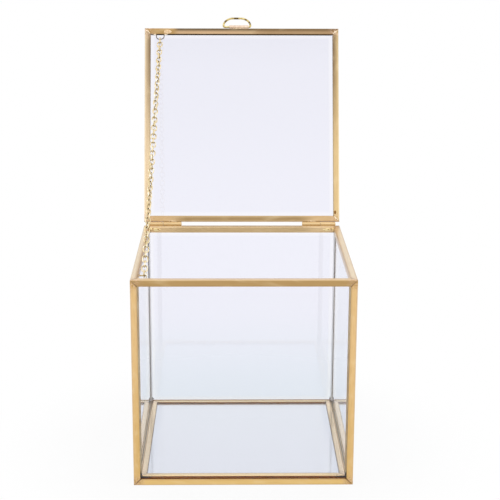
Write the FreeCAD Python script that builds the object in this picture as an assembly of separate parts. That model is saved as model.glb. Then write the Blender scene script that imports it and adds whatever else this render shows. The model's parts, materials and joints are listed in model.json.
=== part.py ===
"""A glass card box in brass strip, with a hinged glass lid held open by a chain.

Millimetres. X runs to the right, Y to the back and Z up, and the origin is the middle of the base.
The lid is drawn shut and then turned open about its hinge, with everything that it carries.
"""
import FreeCAD, Part  # Part only loads after FreeCAD
import math
import os

Vector = FreeCAD.Vector

# Box
WIDTH = 200.0
DEPTH = 200.0
RIM_HEIGHT = 195.0

# Brass strip and glass
STRIP = 1.0              # thickness of the strip, and the radius of its bends
FACE = 6.0               # width of the face that shows beside an edge
GLASS = 4.0
CHANNEL_PLAY = 0.4       # room beside a pane in its channel
PANE_PLAY = 0.3          # room at the edges of a pane
FRONT_BEAD = 2.4         # leg of the sealant bead in an upright corner
BACK_BEAD = 0.5

# Base frame, a channel around the base pane
BASE_FACE = 5.0
BASE_GAP = 0.3           # from the bottom rails to the base frame
BASE_LIFT = 1.4          # of the base frame above the table
TAB_LENGTH = 12.0
TAB_HEIGHT = 3.0
TAB_SPACING = 100.0

# Lid and hinges
LID_OPEN = 108.0         # degrees from shut, where the chain is tight
LID_GAP = 0.3            # between the rim and the shut lid
BARREL = 4.4             # diameter of a hinge barrel
PIN = 2.2                # diameter of its pin
RUNNING_FIT = 0.05       # radial room around a pin or a pivot wire
BARREL_STANDOFF = 0.35   # between a barrel and the back face
BARREL_RISE = 0.7        # of the hinge axis above the rim
LEAF = 1.2
HINGE_INSET = 4.5        # of a hinge's outer end from the side of the box
BOX_KNUCKLE = 14.8
LID_KNUCKLE = 18.4
KNUCKLE_GAP = 0.3

# Finger pull
PULL_TUBE = 3.6          # diameter
PULL_TUBE_LENGTH = 20.0
PULL_CENTRE = -2.8       # of the tube, to the right of the middle
PULL_STANDOFF = 0.2      # between the tube and the lid's free edge
PULL_PAD = 2.6           # height of the solder pad behind the tube
PULL_WIRE = 2.0
PULL_WIDTH = 29.7        # over the ring
PULL_HEIGHT = 13.0       # from the pivot to the ring's outer edge
PULL_FOOT_RADIUS = 1.6
PULL_TOP_RADIUS = 10.3
PULL_LEAN = 30.0         # degrees from the lid's plane, away from the box
PULL_END_PLAY = 0.2      # left between the tube and the ring's bend

# Lid chain
STUD = 1.4               # diameter of the stud on the left rim rail
STUD_REACH = 4.6         # from the rail to the middle of the first link
STUD_HEAD = 4.4
STUD_HEAD_THICK = 0.8
STUD_HEAD_GAP = 1.0      # from the first link's wire to the head
STUD_INSET = 25.0        # of the stud from the front of the box
EYE_WIRE = 0.9
EYE_WIDTH = 8.8          # over the wire
EYE_CENTRE = 16.0        # of the eye from the lid's left side
EYE_ROOT = 1.6           # straight length at the lid rail
EYE_DROP = 5.5           # from the bend to the wire that carries the chain
EYE_BEND = 1.0           # radius
EYE_TILT = 33.0          # degrees down from the lid
LINK_WIRE = 1.2
LINK_WIDTH = 6.0
LINK_PLAY = 0.3
EYE_PLAY = 0.15          # between an end link and what it hangs on
LINKS = 55
LOWER_LINKS = 28
LINK_TURN = 90.0         # degrees from a link to the next
CHAIN_TWIST = 180.0      # degrees over the whole chain

OVERSHOOT = 1.0          # of a cutting solid past what it cuts
SAME_POINT = 1e-6        # ends closer than this meet

# What follows from the sizes above
HALF_WIDTH = WIDTH / 2
HALF_DEPTH = DEPTH / 2
CHANNEL = 2 * STRIP + GLASS + CHANNEL_PLAY
LID_BOTTOM = RIM_HEIGHT + LID_GAP
LID_TOP = LID_BOTTOM + CHANNEL
BASE_THICK = 2 * STRIP + GLASS
BASE_TOP = BASE_LIFT + BASE_THICK
BASE_INSET = CHANNEL + BASE_GAP
BARREL_RADIUS = BARREL / 2
HINGE_BORE = PIN / 2 + RUNNING_FIT
HINGE_Y = HALF_DEPTH + BARREL_STANDOFF + BARREL_RADIUS
HINGE_Z = RIM_HEIGHT + BARREL_RISE

RIGHT = Vector(1, 0, 0)
BACK = Vector(0, 1, 0)
UP = Vector(0, 0, 1)

SIDES = {
    "front": (Vector(0, -HALF_DEPTH, 0), BACK, WIDTH),
    "back": (Vector(0, HALF_DEPTH, 0), -BACK, WIDTH),
    "left": (Vector(-HALF_WIDTH, 0, 0), RIGHT, DEPTH),
    "right": (Vector(HALF_WIDTH, 0, 0), -RIGHT, DEPTH),
}


def block(low, high):
    """A box between two corners."""
    size = high - low
    return Part.makeBox(size.x, size.y, size.z, low)


def rod(start, direction, length, diameter):
    """A round bar."""
    return Part.makeCylinder(diameter / 2, length, start, direction)


def rounded_path(corners, closed):
    """A wire of straight runs through the corners, each a point and a radius, with tangent arcs."""
    count = len(corners)
    spans = []
    for index, (point, radius) in enumerate(corners):
        at_end = not closed and index in (0, count - 1)
        if radius == 0 or at_end:
            spans.append((point, None, point))
            continue
        towards_last = (corners[index - 1][0] - point).normalize()
        towards_next = (corners[(index + 1) % count][0] - point).normalize()
        half_angle = towards_last.getAngle(towards_next) / 2
        tangent = radius / math.tan(half_angle)
        middle = (towards_last + towards_next).normalize()
        nearest = radius / math.sin(half_angle) - radius
        start = point + towards_last * tangent
        end = point + towards_next * tangent
        spans.append((start, point + middle * nearest, end))
    edges = []
    for index, (start, through, end) in enumerate(spans):
        if through is not None:
            edges.append(Part.Arc(start, through, end).toShape())
        if index == count - 1 and not closed:
            continue
        following = spans[(index + 1) % count][0]
        if (following - end).Length > SAME_POINT:
            edges.append(Part.LineSegment(end, following).toShape())
    return Part.Wire(edges)


def wire_along(path, start, direction, diameter):
    """A round wire along a path that starts at a point in a direction."""
    ring = Part.Wire(Part.Circle(start, direction, diameter / 2).toShape())
    return path.makePipeShell([ring], True, False)


def prism(outline, length):
    """A bar of the outline's section, lying along X and centred on it; the outline is in Y and Z."""
    corners = [(Vector(-length / 2, across, rise), radius) for across, rise, radius in outline]
    return Part.Face(rounded_path(corners, True)).extrude(Vector(length, 0, 0))


def angle_outline():
    """Section of the corner posts: two faces that meet in a bend."""
    return [
        (0, 0, STRIP), (FACE, 0, 0), (FACE, STRIP, 0),
        (STRIP, STRIP, 0), (STRIP, FACE, 0), (0, FACE, 0),
    ]


def rail_outline():
    """Section of the rim and bottom rails: a channel that opens away from the box's end."""
    inner = CHANNEL - STRIP
    return [
        (0, 0, STRIP), (CHANNEL, 0, STRIP), (CHANNEL, FACE, 0), (inner, FACE, 0),
        (inner, STRIP, 0), (STRIP, STRIP, 0), (STRIP, FACE, 0), (0, FACE, 0),
    ]


def frame_outline(face, thickness):
    """Section of the lid rails and the base frame: a channel that opens to the middle of the pane."""
    inner = thickness - STRIP
    return [
        (0, 0, STRIP), (face, 0, 0), (face, STRIP, 0), (STRIP, STRIP, 0),
        (STRIP, inner, 0), (face, inner, 0), (face, thickness, 0), (0, thickness, STRIP),
    ]


def mitre_wedges(length, reach, rise, across, thickness):
    """Cutting solids that mitre a bar along X at both ends, over its thickness across the rise."""
    wedges = []
    for side in (-1, 1):
        tip = RIGHT * (side * (length / 2 + OVERSHOOT)) - rise * OVERSHOOT
        full = rise * (reach + 2 * OVERSHOOT)
        inward = RIGHT * (-side * (reach + 2 * OVERSHOOT))
        outline = Part.makePolygon([tip, tip + full, tip + full + inward, tip])
        outline.translate(across * -OVERSHOOT)
        wedges.append(Part.Face(outline).extrude(across * (thickness + OVERSHOOT)))
    return wedges


def cut_all(solid, tools):
    """The solid with every tool taken off."""
    for tool in tools:
        solid = solid.cut(tool)
    return solid


def on_edge(bar, middle, inward, second):
    """Lay a bar that runs along X on an edge, with its Y pointing inward and its Z the second way."""
    along = inward.cross(second)
    matrix = FreeCAD.Matrix(
        along.x, inward.x, second.x, middle.x,
        along.y, inward.y, second.y, middle.y,
        along.z, inward.z, second.z, middle.z,
        0, 0, 0, 1,
    )
    placed = bar.copy()
    placed.Placement = FreeCAD.Placement(matrix)
    return placed


def box_rail(length):
    """A rim or bottom rail, mitred to its neighbours in plan and to the posts on its outer face."""
    bar = prism(rail_outline(), length)
    bar = cut_all(bar, mitre_wedges(length, CHANNEL, BACK, UP, FACE + OVERSHOOT))
    return cut_all(bar, mitre_wedges(length, FACE, UP, BACK, STRIP))


def corner_post():
    """A post, mitred to the rails on both of its faces."""
    bar = prism(angle_outline(), RIM_HEIGHT)
    bar = cut_all(bar, mitre_wedges(RIM_HEIGHT, FACE, BACK, UP, FACE + OVERSHOOT))
    return cut_all(bar, mitre_wedges(RIM_HEIGHT, FACE, UP, BACK, FACE + OVERSHOOT))


def frame_rail(length, face, thickness):
    """A strip of a pane's frame, mitred to its neighbours."""
    bar = prism(frame_outline(face, thickness), length)
    return cut_all(bar, mitre_wedges(length, face, BACK, UP, thickness + OVERSHOOT))


def turned_open(shape):
    """The shape as the open lid carries it."""
    opened = shape.copy()
    opened.rotate(Vector(0, HINGE_Y, HINGE_Z), RIGHT, -LID_OPEN)
    return opened


def add_walls(parts):
    """The four wall panes, the posts and rails around them and the beads in their corners."""
    for side, (middle, inward, length) in SIDES.items():
        parts["bottom_rail_" + side] = on_edge(box_rail(length), middle, inward, UP)
        parts["rim_rail_" + side] = on_edge(box_rail(length), middle + UP * RIM_HEIGHT, inward, -UP)

    outer_x = HALF_WIDTH - STRIP
    outer_y = HALF_DEPTH - STRIP
    inner_x = outer_x - GLASS
    inner_y = outer_y - GLASS
    pane_top = RIM_HEIGHT - STRIP - PANE_PLAY
    parts["glass_front"] = block(Vector(-outer_x, -outer_y, STRIP), Vector(outer_x, -inner_y, pane_top))
    parts["glass_back"] = block(Vector(-outer_x, inner_y, STRIP), Vector(outer_x, outer_y, pane_top))
    side_end = inner_y - PANE_PLAY
    parts["glass_left"] = block(Vector(-outer_x, -side_end, STRIP), Vector(-inner_x, side_end, pane_top))
    parts["glass_right"] = block(Vector(inner_x, -side_end, STRIP), Vector(outer_x, side_end, pane_top))

    bead_bottom = max(FACE, BASE_TOP) + PANE_PLAY
    bead_length = RIM_HEIGHT - FACE - PANE_PLAY - bead_bottom
    for x_name, x_sign in (("left", -1), ("right", 1)):
        for y_name, y_sign, bead_leg in (("front", -1, FRONT_BEAD), ("back", 1, BACK_BEAD)):
            corner = y_name + "_" + x_name
            edge = Vector(x_sign * HALF_WIDTH, y_sign * HALF_DEPTH, RIM_HEIGHT / 2)
            parts["post_" + corner] = on_edge(corner_post(), edge, RIGHT * -x_sign, BACK * -y_sign)
            root = Vector(x_sign * inner_x, y_sign * inner_y, bead_bottom)
            bead = Part.makeCylinder(bead_leg, bead_length, root)
            inside = block(Vector(-inner_x, -inner_y, 0), Vector(inner_x, inner_y, RIM_HEIGHT))
            parts["corner_bead_" + corner] = bead.common(inside)


def add_base(parts):
    """The base pane, the frame around it and the tabs that tie it to the bottom rails."""
    tabs = []
    tab_rise = (FACE - BASE_LIFT - TAB_HEIGHT) / 2
    for side, (middle, inward, length) in SIDES.items():
        edge = middle + inward * BASE_INSET + UP * BASE_LIFT
        strip = frame_rail(length - 2 * BASE_INSET, BASE_FACE, BASE_THICK)
        parts["base_frame_" + side] = on_edge(strip, edge, inward, UP)
        for shift in (-TAB_SPACING / 2, TAB_SPACING / 2):
            low = Vector(shift - TAB_LENGTH / 2, -BASE_GAP, tab_rise)
            tab = block(low, low + Vector(TAB_LENGTH, BASE_GAP, TAB_HEIGHT))
            tabs.append(on_edge(tab, edge, inward, UP))
    parts["base_solder_tabs"] = Part.makeCompound(tabs)
    edge_inset = BASE_INSET + STRIP + PANE_PLAY
    half_x = HALF_WIDTH - edge_inset
    half_y = HALF_DEPTH - edge_inset
    pane_bottom = BASE_LIFT + STRIP
    pane_low = Vector(-half_x, -half_y, pane_bottom)
    parts["glass_base"] = block(pane_low, Vector(half_x, half_y, pane_bottom + GLASS))


def add_lid(parts):
    """The lid's pane and the four rails around it."""
    for side, (middle, inward, length) in SIDES.items():
        rail = on_edge(frame_rail(length, FACE, CHANNEL), middle + UP * LID_BOTTOM, inward, UP)
        parts["lid_rail_" + side] = turned_open(rail)
    half_x = HALF_WIDTH - STRIP - PANE_PLAY
    half_y = HALF_DEPTH - STRIP - PANE_PLAY
    pane_bottom = LID_BOTTOM + STRIP
    pane = block(Vector(-half_x, -half_y, pane_bottom), Vector(half_x, half_y, pane_bottom + GLASS))
    parts["glass_lid"] = turned_open(pane)


def knuckle(start, length, leaf_low, leaf_high):
    """A hinge barrel on a leaf that is soldered to the back face, bored for the pin."""
    axis = Vector(start, HINGE_Y, HINGE_Z)
    barrel = rod(axis, RIGHT, length, BARREL)
    leaf = block(Vector(start, HALF_DEPTH, leaf_low), Vector(start + length, HALF_DEPTH + LEAF, leaf_high))
    bore = rod(axis - RIGHT * OVERSHOOT, RIGHT, length + 2 * OVERSHOOT, 2 * HINGE_BORE)
    return barrel.fuse(leaf).cut(bore).removeSplitter()


def add_hinges(parts):
    """Two hinges, each a knuckle on the box, a knuckle on the lid and a pin through both."""
    hinge_length = BOX_KNUCKLE + KNUCKLE_GAP + LID_KNUCKLE
    outer_end = HALF_WIDTH - HINGE_INSET
    box_leaf = (RIM_HEIGHT - FACE + STRIP, RIM_HEIGHT)
    lid_leaf = (HINGE_Z, LID_TOP - STRIP)
    starts = {
        "left": (-outer_end, -outer_end, -outer_end + BOX_KNUCKLE + KNUCKLE_GAP),
        "right": (outer_end - hinge_length, outer_end - BOX_KNUCKLE, outer_end - hinge_length),
    }
    for side, (pin_start, box_start, lid_start) in starts.items():
        name = "hinge_" + side
        parts[name + "_box_knuckle"] = knuckle(box_start, BOX_KNUCKLE, *box_leaf)
        parts[name + "_lid_knuckle"] = turned_open(knuckle(lid_start, LID_KNUCKLE, *lid_leaf))
        parts[name + "_pin"] = rod(Vector(pin_start, HINGE_Y, HINGE_Z), RIGHT, hinge_length, PIN)


def add_pull(parts):
    """The tube on the lid's free edge and the ring that swings in it."""
    radius = PULL_TUBE / 2
    pivot_y = -HALF_DEPTH - PULL_STANDOFF - radius
    pivot_z = (LID_BOTTOM + LID_TOP) / 2
    start = Vector(PULL_CENTRE - PULL_TUBE_LENGTH / 2, pivot_y, pivot_z)
    tube = rod(start, RIGHT, PULL_TUBE_LENGTH, PULL_TUBE)
    pad_low = Vector(start.x, pivot_y, pivot_z - PULL_PAD / 2)
    pad = block(pad_low, Vector(start.x + PULL_TUBE_LENGTH, -HALF_DEPTH, pivot_z + PULL_PAD / 2))
    bore = rod(start - RIGHT * OVERSHOOT, RIGHT, PULL_TUBE_LENGTH + 2 * OVERSHOOT,
               PULL_WIRE + 2 * RUNNING_FIT)
    parts["pull_tube"] = turned_open(tube.fuse(pad).cut(bore).removeSplitter())

    half_ring = (PULL_WIDTH - PULL_WIRE) / 2
    slide = half_ring - PULL_FOOT_RADIUS - PULL_TUBE_LENGTH / 2 - PULL_END_PLAY
    middle = Vector(PULL_CENTRE - slide, pivot_y, pivot_z)
    lean = math.radians(PULL_LEAN)
    rise = Vector(0, -math.cos(lean), math.sin(lean)) * (PULL_HEIGHT - PULL_WIRE / 2)
    half = RIGHT * half_ring
    path = rounded_path([
        (middle - half, PULL_FOOT_RADIUS),
        (middle + half, PULL_FOOT_RADIUS),
        (middle + half + rise, PULL_TOP_RADIUS),
        (middle - half + rise, PULL_TOP_RADIUS),
    ], True)
    parts["pull_ring"] = turned_open(wire_along(path, middle, RIGHT, PULL_WIRE))


def chain_link(inner_length):
    """One oval link, lying along X in the XY plane, centred on the origin."""
    half_length = (inner_length + LINK_WIRE) / 2
    half_width = (LINK_WIDTH - LINK_WIRE) / 2
    path = rounded_path([
        (Vector(-half_length, -half_width, 0), half_width),
        (Vector(half_length, -half_width, 0), half_width),
        (Vector(half_length, half_width, 0), half_width),
        (Vector(-half_length, half_width, 0), half_width),
    ], True)
    return wire_along(path, Vector(0, -half_width, 0), RIGHT, LINK_WIRE)


def add_chain(parts):
    """The stud on the rim, the eye on the lid and the chain that is tight between them."""
    rail_x = -HALF_WIDTH + CHANNEL
    stud_z = RIM_HEIGHT - FACE / 2
    root = Vector(rail_x, -HALF_DEPTH + STUD_INSET, stud_z)
    shank = STUD_REACH + LINK_WIRE / 2 + STUD_HEAD_GAP
    stud = rod(root, RIGHT, shank, STUD)
    head = rod(root + RIGHT * shank, RIGHT, STUD_HEAD_THICK, STUD_HEAD)
    parts["chain_stud"] = stud.fuse(head).removeSplitter()

    half_eye = (EYE_WIDTH - EYE_WIRE) / 2
    tilt = math.radians(EYE_TILT)
    drop = Vector(0, math.cos(tilt), -math.sin(tilt)) * EYE_DROP
    foot = Vector(-HALF_WIDTH + EYE_CENTRE, -HALF_DEPTH + FACE, LID_BOTTOM + EYE_WIRE / 2)
    bend = foot + BACK * EYE_ROOT
    left = RIGHT * -half_eye
    right = RIGHT * half_eye
    path = rounded_path([
        (foot + left, 0),
        (bend + left, EYE_BEND),
        (bend + left + drop, half_eye),
        (bend + right + drop, half_eye),
        (bend + right, EYE_BEND),
        (foot + right, 0),
    ], False)
    parts["chain_eye"] = turned_open(wire_along(path, foot + left, BACK, EYE_WIRE))

    lower_end = root + RIGHT * STUD_REACH
    upper_end = turned_open(Part.Vertex(bend + drop)).Point
    span = upper_end - lower_end
    overlap = (STUD + EYE_WIRE) / 2 + 2 * EYE_PLAY - LINK_PLAY
    pitch = (span.Length + overlap) / LINKS
    inner_length = pitch + LINK_PLAY
    along = Vector(span).normalize()
    across = (RIGHT - along * RIGHT.dot(along)).normalize()
    first = lower_end + along * (inner_length / 2 - STUD / 2 - EYE_PLAY)
    link = chain_link(inner_length)
    links = []
    for index in range(LINKS):
        turn = LINK_TURN * (1 + index % 2) + CHAIN_TWIST * index / (LINKS - 1)
        side = FreeCAD.Rotation(along, turn).multVec(across)
        links.append(on_edge(link, first + along * (pitch * index), side, along.cross(side)))
    parts["chain_lower"] = Part.makeCompound(links[:LOWER_LINKS])
    parts["chain_upper"] = Part.makeCompound(links[LOWER_LINKS:])
    print("chain from", lower_end, "to", upper_end, "pitch", round(pitch, 3))


def main():
    """Build every piece and write it to its own file."""
    parts = {}
    add_walls(parts)
    add_base(parts)
    add_lid(parts)
    add_hinges(parts)
    add_pull(parts)
    add_chain(parts)
    os.makedirs("parts", exist_ok=True)
    for node, shape in parts.items():
        shape.exportStep("parts/" + node + ".step")


main()
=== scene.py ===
"""Looks of the glass card box: its finishes, its solder and glue, and the studio around it.

Metres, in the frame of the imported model: X to the right, Y to the back and Z up.
"""
from __future__ import annotations

import json
import logging
import math
from dataclasses import dataclass, field
from enum import Enum
from itertools import product
from typing import Any, Callable, Iterable, Sequence, Union

import bmesh
import bpy
from bpy.types import ColorRamp, Material, Node, NodeSocket, Object, World
from mathutils import Matrix, Vector

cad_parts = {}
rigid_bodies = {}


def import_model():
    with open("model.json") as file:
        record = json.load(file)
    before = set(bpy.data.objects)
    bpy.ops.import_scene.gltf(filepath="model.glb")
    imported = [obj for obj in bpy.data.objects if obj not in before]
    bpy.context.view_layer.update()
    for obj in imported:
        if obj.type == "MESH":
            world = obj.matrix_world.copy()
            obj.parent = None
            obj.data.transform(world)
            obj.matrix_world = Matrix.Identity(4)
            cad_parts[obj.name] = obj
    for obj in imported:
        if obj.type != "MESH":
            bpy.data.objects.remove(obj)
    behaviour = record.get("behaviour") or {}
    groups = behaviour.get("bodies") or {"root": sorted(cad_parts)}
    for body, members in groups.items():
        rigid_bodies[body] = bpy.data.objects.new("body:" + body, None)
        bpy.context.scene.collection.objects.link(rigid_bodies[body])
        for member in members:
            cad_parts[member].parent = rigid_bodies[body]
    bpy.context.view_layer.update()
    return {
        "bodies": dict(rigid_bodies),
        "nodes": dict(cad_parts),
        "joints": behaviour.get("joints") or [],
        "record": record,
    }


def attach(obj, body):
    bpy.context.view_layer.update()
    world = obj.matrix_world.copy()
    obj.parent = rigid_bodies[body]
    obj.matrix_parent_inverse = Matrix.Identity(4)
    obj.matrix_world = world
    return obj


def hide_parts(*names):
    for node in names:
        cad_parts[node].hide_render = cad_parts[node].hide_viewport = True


LOG = logging.getLogger("card_box")
MM = 0.001

ORIGIN = Vector((0.0, 0.0, 0.0))
RIGHT = Vector((1.0, 0.0, 0.0))
BACK = Vector((0.0, 1.0, 0.0))
UP = Vector((0.0, 0.0, 1.0))
UNTURNED = Matrix.Identity(4)

# How much faster a strip's run goes along Y and Z than along X, so that the strips differ.
RUN_Y = 1.7
RUN_Z = 2.3

Colour = tuple[float, float, float]
Feed = Union[float, Sequence[float], "Channel", NodeSocket]
WHITE: Colour = (1.0, 1.0, 1.0)


class Body(Enum):
    """The bodies that added pieces ride on."""

    BOX = "box"
    LID = "lid"


class Slot(Enum):
    """The record's material slots, passed along with the added pieces but never given to them."""

    STRIP = "brass_strip"
    SOLDER = "solder"
    SEALANT = "sealant"
    GLASS = "glass"


class Side(Enum):
    """The four sides of the box, as its strips and panes are named."""

    FRONT = "front"
    BACK = "back"
    LEFT = "left"
    RIGHT = "right"


class Axis(Enum):
    """The axis that a finish fades along."""

    X = 0
    Y = 1
    Z = 2


def corner_name(side_x: int, side_y: int) -> str:
    """Name a corner of the box.

    Args:
        side_x: -1 on the left, 1 on the right.
        side_y: -1 at the front, 1 at the back.

    Returns:
        The name, as the posts and beads have it.
    """
    depth = Side.FRONT if side_y < 0 else Side.BACK
    width = Side.LEFT if side_x < 0 else Side.RIGHT
    return f"{depth.value}_{width.value}"


def shade(red: int, green: int, blue: int) -> Colour:
    """Turn a colour as it looks on screen into linear numbers for shaders, by the sRGB curve.

    Args:
        red: from 0 to 255.
        green: from 0 to 255.
        blue: from 0 to 255.

    Returns:
        The linear colour.
    """
    linear = []
    for level in (red, green, blue):
        share = level / 255
        linear.append(share / 12.92 if share <= 0.04045 else ((share + 0.055) / 1.055) ** 2.4)
    return tuple(linear)


@dataclass(frozen=True)
class Fade:
    """Where a smooth step starts and ends, and how much it comes to."""

    low: float
    high: float
    share: float = 1.0


# The shares of open air between which the painted crease shade fades, where only tight creases are darkened.
TIGHT_CREASE_SHADE = Fade(0.05, 0.5)


class Channel:
    """A number on its way through a node tree, with Python's operators for its maths."""

    def __init__(self, sheet: NodeSheet, socket: NodeSocket) -> None:
        """Wrap an output socket of one of the sheet's nodes."""
        self.sheet = sheet
        self.socket = socket

    def _math(self, operation: str, first: Feed, second: Feed = 0.0) -> Channel:
        """A Math node on two numbers."""
        made = self.sheet.node("ShaderNodeMath", {0: first, 1: second}, operation=operation)
        return Channel(self.sheet, made.outputs[0])

    def __add__(self, other: Feed) -> Channel:
        """The sum."""
        return self._math("ADD", self, other)

    __radd__ = __add__

    def __sub__(self, other: Feed) -> Channel:
        """The difference."""
        return self._math("SUBTRACT", self, other)

    def __rsub__(self, other: Feed) -> Channel:
        """The difference, with this number taken away."""
        return self._math("SUBTRACT", other, self)

    def __mul__(self, other: Feed) -> Channel:
        """The product."""
        return self._math("MULTIPLY", self, other)

    __rmul__ = __mul__

    def __truediv__(self, other: Feed) -> Channel:
        """The quotient."""
        return self._math("DIVIDE", self, other)

    def __abs__(self) -> Channel:
        """The size without its sign."""
        return self._math("ABSOLUTE", self)

    def least(self, other: Feed) -> Channel:
        """The smaller of two numbers."""
        return self._math("MINIMUM", self, other)

    def most(self, other: Feed) -> Channel:
        """The larger of two numbers."""
        return self._math("MAXIMUM", self, other)

    def rise(self, fade: Fade) -> Channel:
        """A smooth step from 0 up to the fade's share."""
        return self._step(fade, 0.0, fade.share)

    def fall(self, fade: Fade) -> Channel:
        """A smooth step from the fade's share down to 0."""
        return self._step(fade, fade.share, 0.0)

    def _step(self, fade: Fade, start: float, stop: float) -> Channel:
        """Add a smooth step over a fade.

        Args:
            fade: where the step starts and ends.
            start: the value below the fade.
            stop: the value above it.

        Returns:
            The stepped number.
        """
        made = self.sheet.node(
            "ShaderNodeMapRange",
            {"Value": self, "From Min": fade.low, "From Max": fade.high, "To Min": start, "To Max": stop},
            interpolation_type="SMOOTHSTEP",
        )
        return Channel(self.sheet, made.outputs[0])


class NodeSheet:
    """The node tree of a material or a world, and the ways to add to it."""

    def __init__(self, owner: Material | World) -> None:
        """Start a tree empty.

        Args:
            owner: the material or the world that the tree belongs to.
        """
        owner.use_nodes = True
        self.owner = owner
        self.tree = owner.node_tree
        self.tree.nodes.clear()

    @classmethod
    def for_material(cls, name: str) -> NodeSheet:
        """The sheet of a new material."""
        return cls(bpy.data.materials.new(name))

    def node(self, kind: str, feeds: dict[str | int, Feed] | None = None, **settings: Any) -> Node:
        """Add a node.

        Args:
            kind: the node's type.
            feeds: a value or a link for each of its sockets, by name, identifier or index.
            settings: its own properties, which are set first, with a ramp's stops under "stops".

        Returns:
            The node.
        """
        made = self.tree.nodes.new(kind)
        for name, setting in settings.items():
            if name == "stops":
                self._set_stops(made.color_ramp, setting)
            else:
                setattr(made, name, setting)
        for name, feed in (feeds or {}).items():
            self._feed(self._socket(made, name), feed)
        return made

    @staticmethod
    def _set_stops(ramp: ColorRamp, stops: dict[float, Colour]) -> None:
        """Give a ramp its stops.

        Args:
            ramp: the ramp of a new node.
            stops: the colour at each place from 0 to 1.
        """
        ramp.interpolation = "EASE"
        while len(ramp.elements) < len(stops):
            ramp.elements.new(1.0)
        for element, (place, colour) in zip(ramp.elements, stops.items()):
            element.position = place
            element.color = (*colour, 1.0)

    @staticmethod
    def _socket(made: Node, name: str | int) -> NodeSocket:
        """Find an input of a node.

        Args:
            made: the node.
            name: the input's name, identifier or index.

        Returns:
            The input.
        """
        if isinstance(name, int):
            return made.inputs[name]
        for socket in made.inputs:
            if socket.identifier == name:
                return socket
        return made.inputs[name]

    def _feed(self, socket: NodeSocket, feed: Feed) -> None:
        """Link an input, or set its value.

        Args:
            socket: the input.
            feed: what goes in.
        """
        if isinstance(feed, Channel):
            feed = feed.socket
        if isinstance(feed, NodeSocket):
            self.tree.links.new(feed, socket)
        elif socket.type == "RGBA":
            socket.default_value = (*feed, 1.0)
        else:
            socket.default_value = feed

    def place(self, flat: Matrix = UNTURNED) -> NodeSocket:
        """Find the shaded point in the object's frame.

        Args:
            flat: a rigid matrix that moves the point.

        Returns:
            The point.
        """
        here = self.node("ShaderNodeTexCoord").outputs["Object"]
        feeds = {"Vector": here, "Location": flat.translation, "Rotation": flat.to_euler()}
        return self.node("ShaderNodeMapping", feeds).outputs[0]

    def parts(self, vector: NodeSocket) -> tuple[Channel, Channel, Channel]:
        """The X, Y and Z of a vector."""
        split = self.node("ShaderNodeSeparateXYZ", {0: vector})
        return tuple(Channel(self, output) for output in split.outputs)

    def vector(self, across: Feed, along: Feed, up: Feed) -> NodeSocket:
        """A vector from three numbers."""
        return self.node("ShaderNodeCombineXYZ", {0: across, 1: along, 2: up}).outputs[0]

    def noise(self, vector: NodeSocket, cell: float, detail: float = 2.0) -> Channel:
        """Soft noise with cells of a size in metres, from 0 to 1."""
        made = self.node("ShaderNodeTexNoise", {"Vector": vector, "Scale": 1 / cell, "Detail": detail})
        return Channel(self, made.outputs[0])

    def ramp(self, share: Channel, stops: dict[float, Colour]) -> NodeSocket:
        """A colour from a ramp, at a share from 0 to 1."""
        return self.node("ShaderNodeValToRGB", {0: share}, stops=stops).outputs[0]

    def blend(self, share: Feed, first: Feed, second: Feed) -> NodeSocket:
        """Mix two colours.

        Args:
            share: how much of the second colour there is, from 0 to 1.
            first: a colour.
            second: another one.

        Returns:
            The mixed colour.
        """
        feeds = {"Factor_Float": share, "A_Color": first, "B_Color": second}
        made = self.node("ShaderNodeMix", feeds, data_type="RGBA")
        return next(output for output in made.outputs if output.type == "RGBA")

    def bump(self, height: Channel, depth: float) -> NodeSocket:
        """A normal bent by a height from 0 to 1 that stands for a depth in metres."""
        return self.node("ShaderNodeBump", {"Height": height, "Distance": depth}).outputs[0]

    def principled(self, feeds: dict[str, Feed]) -> Node:
        """The shader for metal, glass and sealant."""
        return self.node("ShaderNodeBsdfPrincipled", feeds)

    def mix(self, share: Feed, first: Node, second: Node) -> Node:
        """A shader that goes from the first to the second as the share goes from 0 to 1."""
        return self.node("ShaderNodeMixShader", {0: share, 1: first.outputs[0], 2: second.outputs[0]})

    def surface(self, shader: Node) -> Material:
        """Send a shader to the material's output, and give the material."""
        self.node("ShaderNodeOutputMaterial", {"Surface": shader.outputs[0]})
        return self.owner


@dataclass(frozen=True)
class Envelope:
    """The box around a set of strips or panes, in the pose where the set lies square to the axes."""

    low: Vector
    high: Vector
    flat: Matrix

    @classmethod
    def around(cls, nodes: Iterable[Object], flat: Matrix) -> Envelope:
        """Measure the nodes.

        Args:
            nodes: CAD nodes at rest.
            flat: what takes them from rest to the square pose.

        Returns:
            Their envelope.
        """
        points = [flat @ corner.co for node in nodes for corner in node.data.vertices]
        low = Vector([min(point[axis] for point in points) for axis in range(3)])
        high = Vector([max(point[axis] for point in points) for axis in range(3)])
        return cls(low, high, flat)

    @property
    def middle(self) -> Vector:
        """Its middle."""
        return (self.low + self.high) / 2

    @property
    def size(self) -> Vector:
        """Its lengths along X, Y and Z."""
        return self.high - self.low


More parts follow.
